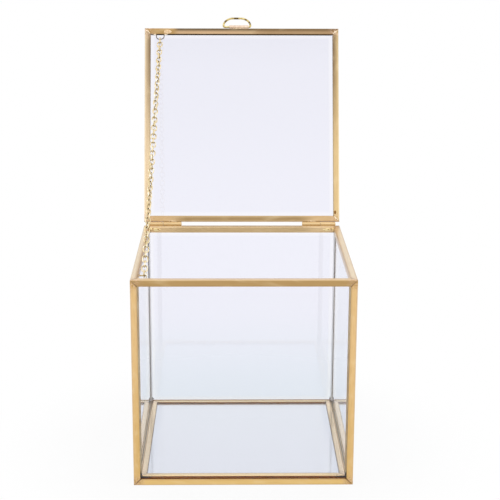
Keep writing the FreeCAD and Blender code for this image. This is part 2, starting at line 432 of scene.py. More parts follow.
@dataclass(frozen=True)
class StripPlace:
    """Where a shaded point lies on a strip or a pane that follows an envelope's edges."""

    point: tuple[Channel, Channel, Channel]
    skin: Channel       # depth below the nearest side
    across: Channel     # distance from the nearest edge, across the strip
    along: Channel      # distance from the nearest corner, along the strip
    inset: Channel      # depth below the nearest upright side
    level: Channel      # depth below the top
    run: Channel        # place along the strip, different on each strip

    @classmethod
    def on(cls, sheet: NodeSheet, envelope: Envelope) -> StripPlace:
        """Add the nodes that find the place.

        Args:
            sheet: the material's node sheet.
            envelope: the envelope that the strips follow.

        Returns:
            The place, as channels of that sheet.
        """
        middle = envelope.middle
        half = envelope.size / 2
        point = sheet.parts(sheet.place(envelope.flat))
        depths = [half[axis] - abs(point[axis] - middle[axis]) for axis in range(3)]
        inset = depths[0].least(depths[1])
        skin = inset.least(depths[2])
        along = depths[0].most(depths[1]).most(depths[2])
        across = depths[0] + depths[1] + depths[2] - skin - along
        run = point[0] + point[1] * RUN_Y + point[2] * RUN_Z
        return cls(point, skin, across, along, inset, envelope.high.z - point[2], run)

    def drawn(self, width: float, stretch: float) -> Channel:
        """Noise from 0 to 1, in cells of a width across the strip and so many times as long along it."""
        sheet = self.run.sheet
        return sheet.noise(sheet.vector(self.run / stretch, self.across, self.skin), width)


@dataclass(frozen=True)
class StripWear:
    """What drawing, soldering and age leave on every strip."""

    pale: Colour = shade(250, 228, 186)
    tarnish: Colour = shade(150, 110, 62)
    blush: Colour = shade(232, 196, 172)
    seam: Colour = shade(106, 74, 44)
    streak: float = 0.8 * MM
    streak_length: float = 40.0                     # times its width
    streaks: Fade = Fade(0.50, 0.75, 0.20)
    patch: float = 6.0 * MM
    patch_length: float = 4.0                       # times its width
    pale_patches: Fade = Fade(0.48, 0.75, 0.22)
    dull_patches: Fade = Fade(0.30, 0.46, 0.07)
    solder: Fade = Fade(3.9 * MM, 13.0 * MM)        # distance from a corner
    speck: float = 1.1 * MM
    blush_specks: Fade = Fade(0.50, 0.62, 0.7)
    dull_specks: Fade = Fade(0.34, 0.44, 0.6)
    seam_share: float = 0.8
    seam_core: float = 0.25                         # share of the seam's width that is darkest
    seam_edge: float = 0.4                          # share of the seam's width at the strip's edge
    seam_lip: float = 1.6                           # and at its lip
    # Where the painted shade inside a strip's fold lies.
    pocket_shading_skin: Fade = Fade(0.5 * MM, 0.9 * MM)    # depth below the nearest side
    pocket_shading_inset: Fade = Fade(5.5 * MM, 6.2 * MM)   # depth below the upright side
    streak_rough: float = 0.10
    patch_rough: float = 0.08
    solder_rough: float = 0.10
    pocket_rough: float = 0.3
    coat: float = 0.25
    coat_rough: float = 0.12
    streak_height: float = 0.4                      # share of a solder speck's height
    relief: float = 0.015 * MM


@dataclass(frozen=True)
class BrassStrip:
    """Drawn brass strip: painted light and shade across its face, with streaks along it and solder stains at
    its mitres.
    """

    name: str
    # body, edge and lip colour the face from its edge to its lip: painted light and shade of a rounded strip
    body: Colour
    edge: Colour
    lip: Colour
    # A painted highlight on the face that looks up.
    top: Colour | None = None                       # the face that looks up
    top_highlight_level: Fade = Fade(0.1 * MM, 0.5 * MM)      # depth below the top
    # Painted shade on the upright outer side.
    web_shade: Colour | None = None                       # the upright outer side
    web_shade_inset: Fade = Fade(0.2 * MM, 0.6 * MM)      # depth below that side
    web_shade_level: Fade = Fade(0.5 * MM, 1.0 * MM)      # depth below the top
    end: Colour | None = None                       # the front, left or lower end
    end_axis: Axis = Axis.Y
    end_reach: Fade = Fade(6.0 * MM, 90.0 * MM)
    end_edge: float = 1.0                           # how much of the end's colour reaches the strip's edge
    far: Colour | None = None                       # the other end
    far_reach: Fade = Fade(90.0 * MM, 130.0 * MM, 0.5)
    corner: Colour | None = None                    # both ends
    corner_reach: Fade = Fade(20.0 * MM, 45.0 * MM)
    # Painted shade inside the fold; pale painted light on the side foot rails.
    pocket_shading: Colour = shade(146, 92, 36)             # the inside of the fold
    face: float = 6.0 * MM
    edge_hold: float = 0.0                          # share of the face that keeps the edge's colour
    edge_reach: float = 0.28                        # share of the face where the edge's colour has faded
    lip_reach: float = 0.30                         # share of the face that the lip's colour reaches over
    seam_width: float = 0.60 * MM
    roughness: float = 0.26
    wear: StripWear = StripWear()

    def material(self, envelope: Envelope) -> Material:
        """Make the material for strips along an envelope.

        Args:
            envelope: the envelope that the strips follow.

        Returns:
            The material.
        """
        sheet = NodeSheet.for_material(self.name)
        place = StripPlace.on(sheet, envelope)
        axis = self.end_axis.value
        colour = self._clean(sheet, place, place.point[axis] - envelope.low[axis])

        wear = self.wear
        streaks = place.drawn(wear.streak, wear.streak_length)
        patches = place.drawn(wear.patch, wear.patch_length)
        specks = sheet.noise(sheet.place(envelope.flat), wear.speck)
        soldered = place.along.fall(wear.solder)
        opening = wear.seam_edge + (wear.seam_lip - wear.seam_edge) * place.across / self.face
        seam = Fade(wear.seam_core * self.seam_width, self.seam_width, wear.seam_share)
        # Painted shade inside the fold.
        pocket_shading = place.skin.rise(wear.pocket_shading_skin) * place.inset.fall(wear.pocket_shading_inset)
        layers = (
            (patches.rise(wear.pale_patches), wear.pale),
            (patches.fall(wear.dull_patches), wear.tarnish),
            (streaks.rise(wear.streaks), wear.tarnish),
            (soldered * specks.rise(wear.blush_specks), wear.blush),
            (soldered * specks.fall(wear.dull_specks), wear.tarnish),
            (((place.along - place.across) / opening).fall(seam), wear.seam),
            (pocket_shading, self.pocket_shading),
        )
        for share, layer in layers:
            colour = sheet.blend(share, colour, layer)

        rough = self.roughness + streaks * wear.streak_rough + patches * wear.patch_rough
        rough = rough + soldered * wear.solder_rough + pocket_shading * wear.pocket_rough
        return sheet.surface(sheet.principled({
            "Base Color": colour,
            "Metallic": 1.0,
            "Roughness": rough,
            "Coat Weight": wear.coat,
            "Coat Roughness": wear.coat_rough,
            "Normal": sheet.bump(streaks * wear.streak_height + specks * soldered, wear.relief),
        }))

    def _clean(self, sheet: NodeSheet, place: StripPlace, from_end: Channel) -> NodeSocket:
        """Colour the strip from edge to lip in painted light and shade, and from end to end, before its wear.

        Args:
            sheet: the material's node sheet.
            place: where the shaded point lies.
            from_end: its distance from the end.

        Returns:
            The colour.
        """
        stops = {
            self.edge_hold: self.edge,
            self.edge_reach: self.body,
            1 - self.lip_reach: self.body,
            1.0: self.lip,
        }
        # Painted light and shade across the face, from edge to lip.
        colour = sheet.ramp(place.across / self.face, stops)
        if self.end is not None:
            spread = self.end_edge + (1 - self.end_edge) * place.across.rise(Fade(0.0, self.face))
            colour = sheet.blend(from_end.fall(self.end_reach) * spread, colour, self.end)
        if self.far is not None:
            colour = sheet.blend(from_end.rise(self.far_reach), colour, self.far)
        if self.corner is not None:
            colour = sheet.blend(place.along.fall(self.corner_reach), colour, self.corner)
        # Painted shade on the upright outer side.
        if self.web_shade is not None:
            upright = place.inset.fall(self.web_shade_inset) * place.level.rise(self.web_shade_level)
            colour = sheet.blend(upright, colour, self.web_shade)
        # Painted highlight on the face that looks up.
        if self.top is not None:
            colour = sheet.blend(place.level.fall(self.top_highlight_level), colour, self.top)
        return colour


@dataclass(frozen=True)
class BrassWire:
    """Bright brass wire or turned brass, with tarnish in patches and painted shade in its creases."""

    name: str
    body: Colour
    pale: Colour = shade(250, 238, 204)
    pale_patches: Fade = Fade(0.52, 0.66)
    stain: Colour = shade(112, 84, 40)
    stain_patches: Fade = Fade(0.36, 0.46)
    stain_share: float = 0.35
    # Painted shade where little open air is around the point.
    crease_shade: Colour = shade(78, 56, 26)
    crease_shade_open: Fade = Fade(0.35, 0.90)    # share of open air around the point
    crease_shade_reach: float = 1.8 * MM          # how far around
    crease_shade_samples: int = 8
    patch: float = 3.2 * MM
    scratch: float = 0.25 * MM
    roughness: float = 0.20
    patch_rough: float = 0.10
    scratch_rough: float = 0.06
    relief: float = 0.01 * MM

    def material(self) -> Material:
        """Make the material.

        Returns:
            The material.
        """
        sheet = NodeSheet.for_material(self.name)
        here = sheet.place()
        patches = sheet.noise(here, self.patch)
        scratches = sheet.noise(here, self.scratch)
        feeds = {"Distance": self.crease_shade_reach}
        shelter = sheet.node("ShaderNodeAmbientOcclusion", feeds, samples=self.crease_shade_samples)
        open_air = Channel(sheet, shelter.outputs["AO"])
        colour = sheet.blend(patches.rise(self.pale_patches), self.body, self.pale)
        colour = sheet.blend(patches.fall(self.stain_patches) * self.stain_share, colour, self.stain)
        # Painted shade in the creases.
        colour = sheet.blend(open_air.fall(self.crease_shade_open), colour, self.crease_shade)
        return sheet.surface(sheet.principled({
            "Base Color": colour,
            "Metallic": 1.0,
            "Roughness": self.roughness + patches * self.patch_rough + scratches * self.scratch_rough,
            "Normal": sheet.bump(scratches, self.relief),
        }))


@dataclass(frozen=True)
class PaneGlass:
    """Clear float glass: a faint tint, faded from one end to the other in painted shade, painted light and
    shade near its edges, and hand smudges in its gloss.
    """

    name: str
    axis: Axis
    stops: dict[float, Colour]
    # Painted light and shade near the edges: whitish on the wall panes, darker on the base pane.
    margin_shading: Colour = shade(252, 251, 254)
    margin_shading_reach: Fade = Fade(7.0 * MM, 10.0 * MM, 0.5)
    shadow: Colour = shade(248, 250, 253)
    smudge: float = 45.0 * MM
    smudge_detail: float = 4.0
    smudge_rough: Fade = Fade(0.55, 0.85, 0.03)
    ior: float = 1.5

    def material(self, envelope: Envelope) -> Material:
        """Make the material for one pane.

        Args:
            envelope: the pane's own envelope.

        Returns:
            The material.
        """
        sheet = NodeSheet.for_material(self.name)
        place = StripPlace.on(sheet, envelope)
        axis = self.axis.value
        # The tint's fade from one end to the other is painted shade.
        colour = sheet.ramp((place.point[axis] - envelope.low[axis]) / envelope.size[axis], self.stops)
        smudges = sheet.noise(sheet.place(envelope.flat), self.smudge, self.smudge_detail)
        pane = sheet.principled({
            "Base Color": sheet.blend(place.across.fall(self.margin_shading_reach), colour, self.margin_shading),
            "Roughness": smudges.rise(self.smudge_rough),
            "IOR": self.ior,
            "Transmission Weight": 1.0,
        })
        clear = sheet.node("ShaderNodeBsdfTransparent", {"Color": self.shadow})
        path = sheet.node("ShaderNodeLightPath")
        return sheet.surface(sheet.mix(path.outputs["Is Shadow Ray"], pane, clear))


@dataclass(frozen=True)
class LumpyFinish:
    """A cast or smeared finish, such as solder or sealant, with a mottled colour and a lumpy skin."""

    name: str
    body: Colour
    second: Colour
    metal: float
    roughness: float
    second_from: Fade = Fade(0.35, 0.65)
    gloss: float = 0.5
    clear: float = 0.0          # share of the light that goes through
    ior: float = 1.5
    lump: float = 1.2 * MM
    lump_detail: float = 3.0
    lump_rough: float = 0.15
    relief: float = 0.08 * MM

    def material(self) -> Material:
        """Make the material.

        Returns:
            The material.
        """
        sheet = NodeSheet.for_material(self.name)
        lumps = sheet.noise(sheet.place(), self.lump, self.lump_detail)
        return sheet.surface(sheet.principled({
            "Base Color": sheet.blend(lumps.rise(self.second_from), self.body, self.second),
            "Metallic": self.metal,
            "Roughness": self.roughness + lumps * self.lump_rough,
            "Specular IOR Level": self.gloss,
            "IOR": self.ior,
            "Transmission Weight": self.clear,
            "Normal": sheet.bump(lumps, self.relief),
        }))


@dataclass(frozen=True)
class ShadeLinedSealant:
    """Whitish sealant with a dark line where it meets the side pane: painted shade of the brass leg behind
    the glass.
    """

    name: str
    body: Colour
    line: Colour
    shade_line_width: float = 0.34 * MM
    blur: float = 0.08 * MM
    roughness: float = 0.4

    def material(self, pane: float) -> Material:
        """Make the material.

        Args:
            pane: the distance of the side panes from the middle of the box.

        Returns:
            The material.
        """
        sheet = NodeSheet.for_material(self.name)
        x, _, _ = sheet.parts(sheet.place())
        # Painted shade along the side pane.
        line = (pane - abs(x)).fall(Fade(self.shade_line_width - self.blur, self.shade_line_width + self.blur))
        colour = sheet.blend(line, self.body, self.line)
        return sheet.surface(sheet.principled({"Base Color": colour, "Roughness": self.roughness}))


def anywhere(_: Vector) -> bool:
    """Pick every point."""
    return True


def seat(spot: Sequence[float], along: Sequence[float], out: Sequence[float]) -> Matrix:
    """A place for a piece that was modelled lying along X with its top towards Z.

    Args:
        spot: where its middle goes.
        along: where its X points.
        out: roughly where its Z points.

    Returns:
        The matrix that puts it there.
    """
    x = Vector(along).normalized()
    y = Vector(out).cross(x).normalized()
    turn = Matrix((x, y, x.cross(y))).transposed()
    return Matrix.Translation(spot) @ turn.to_4x4()


class Workpiece:
    """A mesh on the bench, shaped with Blender's own tools."""

    def __init__(self, name: str, made: Object) -> None:
        """Name an object and take it as the work."""
        made.name = name
        self.made = made

    @classmethod
    def start(cls, name: str, add: Callable[..., Any], **sizes: Any) -> Workpiece:
        """Start from a primitive.

        Args:
            name: the piece's name.
            add: the operator that adds the primitive.
            sizes: the operator's settings.

        Returns:
            The piece.
        """
        bpy.ops.object.select_all(action="DESELECT")
        add(**sizes)
        return cls(name, bpy.context.active_object)

    def shape(self, pick: Callable[[Vector], bool], tool: Callable[..., Any], **settings: Any) -> None:
        """Pick points by their place and use an edit-mode tool on them.

        Args:
            pick: says of a point's place whether it is picked.
            tool: the operator.
            settings: the operator's settings.
        """
        self._hold()
        bpy.ops.object.mode_set(mode="EDIT")
        bpy.ops.mesh.select_mode(type="VERT")
        bpy.ops.mesh.select_all(action="DESELECT")
        mesh = bmesh.from_edit_mesh(self.made.data)
        for point in mesh.verts:
            point.select = pick(point.co)
        mesh.select_flush(True)
        bmesh.update_edit_mesh(self.made.data)
        tool(**settings)
        bpy.ops.object.mode_set(mode="OBJECT")

    def stretch(self, value: Sequence[float]) -> None:
        """Scale the mesh about the origin."""
        self.shape(anywhere, bpy.ops.transform.resize, value=value, center_override=ORIGIN)

    def face_out(self) -> None:
        """Turn the faces outwards."""
        self.shape(anywhere, bpy.ops.mesh.normals_make_consistent, inside=False)

    def extrude(self, height: float) -> None:
        """Draw a flat mesh up into a solid one."""
        self.shape(anywhere, bpy.ops.mesh.extrude_region_move, TRANSFORM_OT_translate={"value": height * UP})
        self.face_out()

    def modify(self, kind: str, **settings: Any) -> None:
        """Add a modifier and apply it.

        Args:
            kind: the modifier's type.
            settings: its own properties.
        """
        self._hold()
        modifier = self.made.modifiers.new(kind.lower(), kind)
        for name, setting in settings.items():
            setattr(modifier, name, setting)
        bpy.ops.object.modifier_apply(modifier=modifier.name)

    def roughen(self, lump: float, height: float, points: str = "") -> None:
        """Make the skin uneven by where it lies.

        Args:
            lump: the size of its lumps.
            height: how far the lumps go in and out, together.
            points: the vertex group that moves, or nothing for all points.
        """
        clouds = bpy.data.textures.new("lumps", "CLOUDS")
        clouds.noise_scale = lump
        self.modify("DISPLACE", texture=clouds, texture_coords="LOCAL", vertex_group=points, mid_level=0.5,
                    strength=height)

    def put(self, place: Matrix) -> None:
        """Move the mesh to its place, and leave the object at the origin.

        Args:
            place: the matrix that puts it there.
        """
        self._hold()
        self.made.matrix_world = place
        bpy.ops.object.transform_apply(location=True, rotation=True, scale=True)

    def copy(self, name: str) -> Workpiece:
        """Copy the piece, with a mesh of its own.

        Args:
            name: the copy's name.

        Returns:
            The copy.
        """
        twin = self.made.copy()
        twin.data = self.made.data.copy()
        bpy.context.scene.collection.objects.link(twin)
        return Workpiece(name, twin)

    def discard(self) -> None:
        """Take a pattern piece off the bench."""
        mesh = self.made.data
        bpy.data.objects.remove(self.made)
        bpy.data.meshes.remove(mesh)

    def finish(self, body: Body, slot: Slot, material: Material, smooth: float = 50.0) -> None:
        """Smooth the piece, give it its finish and let it ride on its body.

        Args:
            body: the body that carries it.
            slot: its material slot in the record; not used.
            material: its finish.
            smooth: the angle, in degrees, from which an edge stays sharp.
        """
        self._hold()
        bpy.ops.object.shade_smooth_by_angle(angle=math.radians(smooth))
        self.made.data.materials.clear()
        self.made.data.materials.append(material)
        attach(self.made, body.value)
        LOG.info("%s: %s on %s", self.made.name, material.name, body.value)

    def _hold(self) -> None:
        """Select this piece alone."""
        bpy.ops.object.select_all(action="DESELECT")
        self.made.select_set(True)
        bpy.context.view_layer.objects.active = self.made


@dataclass(frozen=True)
class Drop:
    """A mound that was molten or smeared: flat where it sits, with a tail along the seam that it ran into."""

    length: float
    width: float
    height: float
    tail: float = 1.5           # how many times longer the end with the tail is
    narrow: float = 0.55        # share of its width and height that this end keeps
    shoulder: float = 0.12      # share of the length from the middle to where this end starts
    sink: float = 0.12          # share of a whole ball's height from the middle down to the cut
    segments: int = 16
    rings: int = 10
    lump_size: float = 1.6 * MM
    lump_height: float = 0.25   # share of the height

    def pattern(self) -> Workpiece:
        """Model the mound once, lying along X on the plane of X and Y.

        Returns:
            The mound.
        """
        piece = Workpiece.start("drop_pattern", bpy.ops.mesh.primitive_uv_sphere_add, segments=self.segments,
                                ring_count=self.rings, radius=0.5)
        piece.shape(anywhere, bpy.ops.mesh.bisect, plane_co=-self.sink * UP, plane_no=UP, use_fill=True,
                    clear_inner=True)
        piece.stretch((self.length, self.width, 2 * self.height))
        shoulder = self.shoulder * self.length
        piece.shape(lambda spot: spot.x > shoulder, bpy.ops.transform.resize,
                    value=(self.tail, self.narrow, self.narrow), center_override=shoulder * RIGHT)
        piece.modify("SUBSURF", levels=1, render_levels=1)
        return piece

    def lay(self, places: dict[str, Matrix], body: Body, slot: Slot, material: Material) -> None:
        """Copy the mound to its places and roughen each copy in its own way.

        Args:
            places: each copy's name and its place.
            body: the body that carries them.
            slot: their material slot.
            material: their finish.
        """
        pattern = self.pattern()
        for name, place in places.items():
            piece = pattern.copy(name)
            piece.put(place)
            piece.roughen(self.lump_size, self.lump_height * self.height)
            piece.finish(body, slot, material)
        pattern.discard()


@dataclass(frozen=True)
class Bead:
    """A run of sealant in the upright corner between two panes, drawn down by hand."""

    leg: float                      # on the front or back pane
    reach: float                    # on the side pane
    length: float
    gap: float = 0.08 * MM          # to the panes
    segments: int = 48              # of a full circle
    steps: int = 48
    wave_size: float = 16.0 * MM
    wave_height: float = 0.08       # share of the leg

    def pattern(self) -> Workpiece:
        """Model the run once, standing on the origin in the quarter where X and Y are positive.

        Returns:
            The run, with the points that face the room in the group "skin".
        """
        piece = Workpiece.start("bead_pattern", bpy.ops.mesh.primitive_circle_add, vertices=self.segments,
                                radius=self.leg, fill_type="NGON")
        for side in (RIGHT, BACK):
            piece.shape(anywhere, bpy.ops.mesh.bisect, plane_co=ORIGIN, plane_no=side, clear_inner=True)
        piece.stretch((1.0, self.reach / self.leg, 1.0))
        rise = self.length / self.steps
        for step in range(self.steps):
            below_top = (step - 0.5) * rise
            piece.shape(lambda spot: spot.z > below_top, bpy.ops.mesh.extrude_region_move,
                        TRANSFORM_OT_translate={"value": rise * UP})
        skin = [point.index for point in piece.made.data.vertices if min(point.co.xy) > self.gap]
        piece.made.vertex_groups.new(name="skin").add(skin, 1.0, "REPLACE")
        return piece

    def lay(self, corners: dict[str, Vector], body: Body, material: Material) -> None:
        """Stand a copy in each corner and make its skin uneven.

        Args:
            corners: the node that each copy replaces, and the lowest point of its corner.
            body: the body that carries them.
            material: their finish.
        """
        pattern = self.pattern()
        for node, corner in corners.items():
            inward = Vector((math.copysign(1.0, -corner.x), math.copysign(1.0, -corner.y), 0.0))
            mirror = Matrix.Diagonal((*inward.xy, 1.0, 1.0))
            piece = pattern.copy(node + "_run")
            piece.put(Matrix.Translation(corner + inward * self.gap) @ mirror)
            piece.face_out()
            piece.roughen(self.wave_size, self.wave_height * self.leg, "skin")
            piece.finish(body, Slot.SEALANT, material)
            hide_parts(node)
        pattern.discard()


@dataclass(frozen=True)
class Pane:
    """A sheet of glass with ground edges, a hair smaller than the room between its strips."""

    gap: float = 0.03 * MM
    arris: float = 0.4 * MM
    sharp: float = 30.0         # degrees

    def cut(self, node: str, room: Envelope, body: Body, material: Material) -> None:
        """Model the sheet in place of a plain node.

        Args:
            node: the node's name.
            room: the node's envelope.
            body: the body that carries it.
            material: its glass.
        """
        piece = Workpiece.start(node + "_sheet", bpy.ops.mesh.primitive_cube_add, size=1.0)
        piece.stretch(room.size - 2 * self.gap * (RIGHT + BACK + UP))
        piece.shape(anywhere, bpy.ops.mesh.bevel, offset=self.arris, segments=1, affect="EDGES")
        piece.put(room.flat.inverted() @ Matrix.Translation(room.middle))
        piece.finish(body, Slot.GLASS, material, self.sharp)
        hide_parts(node)


class Model:
    """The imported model: its nodes at rest, and the turn that lays the lid shut."""

    def __init__(self, frame: dict[str, Any]) -> None:
        """Find the nodes, and the pose in which the lid lies flat.

        Args:
            frame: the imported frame.
        """
        self.nodes: dict[str, Object] = frame["nodes"]
        hinge = next(joint for joint in frame["joints"] if joint["name"] == "lid_hinge")
        pivot = Matrix.Translation(hinge["pos_m"])
        shut = Matrix.Rotation(math.radians(hinge["range_deg"][1]), 4, hinge["axis"])
        self.hinge_axis = Vector(hinge["pos_m"])
        self.lid_flat = pivot @ shut @ pivot.inverted()
        self.lid_open = self.lid_flat.inverted()

    def named(self, *starts: str) -> list[Object]:
        """The nodes whose names start with any of the words."""
        return [node for name, node in sorted(self.nodes.items()) if name.startswith(starts)]

    def box(self, *starts: str) -> Envelope:
        """The envelope of the nodes whose names start with any of the words."""
        return Envelope.around(self.named(*starts), UNTURNED)

    def shut_box(self, *starts: str) -> Envelope:
        """The envelope of nodes on the lid, as they lie when it is shut."""
        return Envelope.around(self.named(*starts), self.lid_flat)

    def lid_seat(self, spot: Sequence[float], along: Sequence[float], out: Sequence[float]) -> Matrix:
        """A seat on the open lid, told as for the shut lid."""
        return self.lid_open @ seat(spot, along, out)

    def dress(self, material: Material, *starts: str) -> None:
        """Give a finish to some nodes.

        Args:
            material: the finish.
            starts: words that the nodes' names start with.
        """
        for node in self.named(*starts):
            node.data.materials.clear()
            node.data.materials.append(material)
            LOG.info("%s: %s", node.name, material.name)

    def dress_strips(self, finishes: dict[tuple[str, ...], BrassStrip], envelope: Envelope) -> None:
        """Give strips along one envelope their finishes, by the words that their names start with."""
        for starts, finish in finishes.items():
            self.dress(finish.material(envelope), *starts)


@dataclass
class Walls:
    """The four wall panes, the posts and rails around them, and the solder and sealant in their corners."""

    model: Model
    sealant: Material
    mitre_reach: Fade = Fade(3.0 * MM, 11.0 * MM)
    corner_drop: Drop = Drop(4.4 * MM, 3.6 * MM, 1.5 * MM)
    corner_sink: float = 0.9 * MM
    smear: Drop = Drop(8.0 * MM, 3.6 * MM, 0.6 * MM, tail=1.1, narrow=0.8)
    smear_inset: float = 6.8 * MM
    front_leg: float = 2.4 * MM
    back_leg: float = 1.3 * MM
    back_reach: float = 4.8 * MM
    pool: Drop = Drop(4.6 * MM, 3.4 * MM, 1.7 * MM, tail=1.3)
    pool_sink: float = 1.0 * MM
    pool_lift: float = 1 / 3        # share of the pool's length
    # Dark wedges of painted shade in the slit at the front corners.
    slit_shade_drop: Drop = Drop(11.0 * MM, 1.4 * MM, 1.2 * MM, tail=1.4)
    slit_shade_inset: float = 4.5 * MM
    glass: dict[str, Material] = field(default_factory=dict, init=False)

    def dress(self) -> None:
        """Give the strips and panes their finishes."""
        # The rim rails are one brass in painted light and shade: darker on the front rail, with a painted
        # highlight on the faces that look up.
        finishes = {
            ("post_",): BrassStrip(
                "post brass", shade(235, 197, 139), shade(220, 190, 152), shade(210, 174, 122),
                end=shade(221, 182, 115), end_axis=Axis.Z, end_reach=Fade(25.0 * MM, 150.0 * MM),
                end_edge=0.5, corner=shade(206, 168, 106), corner_reach=self.mitre_reach,
            ),
            ("rim_rail_front",): BrassStrip(
                "front rim brass", shade(189, 154, 101), shade(196, 163, 114), shade(182, 149, 98),
                top=shade(229, 202, 162),
            ),
            ("rim_rail_back",): BrassStrip(
                "back rim brass", shade(214, 183, 134), shade(226, 202, 160), shade(208, 178, 132),
                top=shade(236, 218, 188), corner=shade(232, 199, 151),
            ),
        }
        # Left and right rails: painted light and shade across their faces, different on each side.
        flanks = {
            Side.LEFT: (shade(218, 198, 168), shade(184, 148, 98), 0.60),
            Side.RIGHT: (shade(200, 168, 124), shade(214, 188, 150), 0.32),
        }
        for side, (edge, lip, lip_reach) in flanks.items():
            finishes[("rim_rail_" + side.value,)] = BrassStrip(
                side.value + " rim brass", shade(236, 217, 186), edge, lip, lip_reach=lip_reach,
            )
        # Painted shade in the end rails' folds, painted light in the side rails' folds.
        pocket_shadings = {
            "end foot brass": (shade(200, 116, 24), Side.FRONT, Side.BACK),
            "side foot brass": (shade(252, 236, 212), Side.LEFT, Side.RIGHT),
        }
        for name, (pocket_shading, *sides) in pocket_shadings.items():
            finishes[tuple("bottom_rail_" + side.value for side in sides)] = BrassStrip(
                name, shade(231, 194, 124), shade(192, 161, 118), shade(214, 174, 110), pocket_shading=pocket_shading,
                seam_width=1.1 * MM, corner=shade(200, 164, 108), corner_reach=self.mitre_reach,
            )
        self.model.dress_strips(finishes, self.model.box("post_", "bottom_rail_", "rim_rail_"))

        # Each pane's tint, with painted shade: lighter towards the top.
        tints_and_shading = {
            Side.FRONT: {0.0: shade(242, 247, 248), 0.48: shade(245, 249, 250), 0.95: shade(252, 252, 253)},
            Side.BACK: {0.0: shade(237, 240, 248), 0.55: shade(241, 241, 251), 1.0: shade(241, 241, 251)},
            Side.LEFT: {0.0: shade(248, 249, 253), 1.0: shade(247, 250, 253)},
            Side.RIGHT: {0.0: shade(245, 246, 251), 1.0: shade(245, 248, 252)},
        }
        for side, stops in tints_and_shading.items():
            pane = "glass_" + side.value
            self.glass[pane] = PaneGlass(side.value + " glass", Axis.Z, stops).material(self.model.box(pane))
            self.model.dress(self.glass[pane], pane)

    def build(self) -> None:
        """Cut the panes, and add the solder in the rim's inner corners, the sealant between the panes and the
        painted shade in the base slit.
        """
        for pane, glass in self.glass.items():
            Pane().cut(pane, self.model.box(pane), Body.BOX, glass)
        self.solder_rim()
        self.seal_corners()
        self.shade_base_slit()

    def inner_faces(self) -> tuple[float, float]:
        """How far the side panes' and the end panes' inner faces lie from the middle of the box."""
        return self.model.box("glass_right").low.x, self.model.box("glass_back").low.y

    def solder_rim(self) -> None:
        """Solder in the rim's inner corners, and smeared beside them."""
        rim = self.model.box("rim_rail_")
        inner_x = self.model.box("rim_rail_right").low.x
        inner_y = self.model.box("rim_rail_back").low.y
        drop_z = rim.high.z - self.corner_drop.length / 2
        mounds = {}
        smears = {}
        for side_x, side_y in product((-1, 1), repeat=2):
            corner = corner_name(side_x, side_y)
            inward = Vector((-side_x, -side_y, 0.0)).normalized()
            spot = Vector((side_x * inner_x, side_y * inner_y, drop_z)) + inward * self.corner_sink
            mounds["rim_solder_" + corner] = seat(spot, -UP, inward)
            spot = (side_x * (inner_x - self.smear_inset), side_y * inner_y, rim.middle.z)
            smears["rim_smear_" + corner] = seat(spot, -side_x * RIGHT, -side_y * BACK)
        burnt = LumpyFinish("burnt solder", shade(255, 234, 180), shade(176, 120, 52), metal=0.9,
                            roughness=0.22, second_from=Fade(0.52, 0.62)).material()
        self.corner_drop.lay(mounds, Body.BOX, Slot.SOLDER, burnt)
        self.smear.lay(smears, Body.BOX, Slot.SOLDER, burnt)

    def seal_corners(self) -> None:
        """Runs of sealant in place of the plain beads, and pools under them."""
        beads = self.model.box("corner_bead_")
        pane_x, pane_y = self.inner_faces()
        yellowed = LumpyFinish("yellowed sealant", shade(208, 186, 142), shade(190, 160, 112), metal=0.0,
                               roughness=0.32, clear=1.0, ior=1.41, lump=9.0 * MM, lump_rough=0.10,
                               relief=0.05 * MM).material()
        # The dark line along the side pane is painted shade.
        whitish = ShadeLinedSealant("whitish sealant", shade(252, 251, 252), shade(70, 40, 22)).material(pane_x)
        front = Bead(self.front_leg, self.front_leg, beads.size.z)
        back = Bead(self.back_leg, self.back_reach, beads.size.z)
        pools = {}
        for side_y, run, finish in ((-1, front, yellowed), (1, back, whitish)):
            corners = {}
            for side_x in (-1, 1):
                name = corner_name(side_x, side_y)
                corner = Vector((side_x * pane_x, side_y * pane_y, beads.low.z))
                inward = Vector((-side_x, -side_y, 0.0)).normalized()
                spot = corner + inward * self.pool_sink + UP * self.pool_lift * self.pool.length
                corners["corner_bead_" + name] = corner
                pools["sealant_pool_" + name] = seat(spot, UP, inward)
            run.lay(corners, Body.BOX, finish)
        self.pool.lay(pools, Body.BOX, Slot.SEALANT, self.sealant)

    def shade_base_slit(self) -> None:
        """Dark wedges in the slit between the front rail and the base frame: painted shade for the dark gap
        there.
        """
        pane_x, pane_y = self.inner_faces()
        rail = self.model.box("bottom_rail_front")
        slit = (rail.high.y + self.model.box("base_frame_front").low.y) / 2
        slit_shade_places = {}
        for side_x in (-1, 1):
            spot = (side_x * (pane_x - self.slit_shade_inset), (slit - pane_y) / 2, rail.high.z)
            slit_shade_places["sealant_wedge_" + corner_name(side_x, -1)] = seat(spot, -side_x * RIGHT, UP)
        self.slit_shade_drop.lay(slit_shade_places, Body.BOX, Slot.SEALANT, self.sealant)


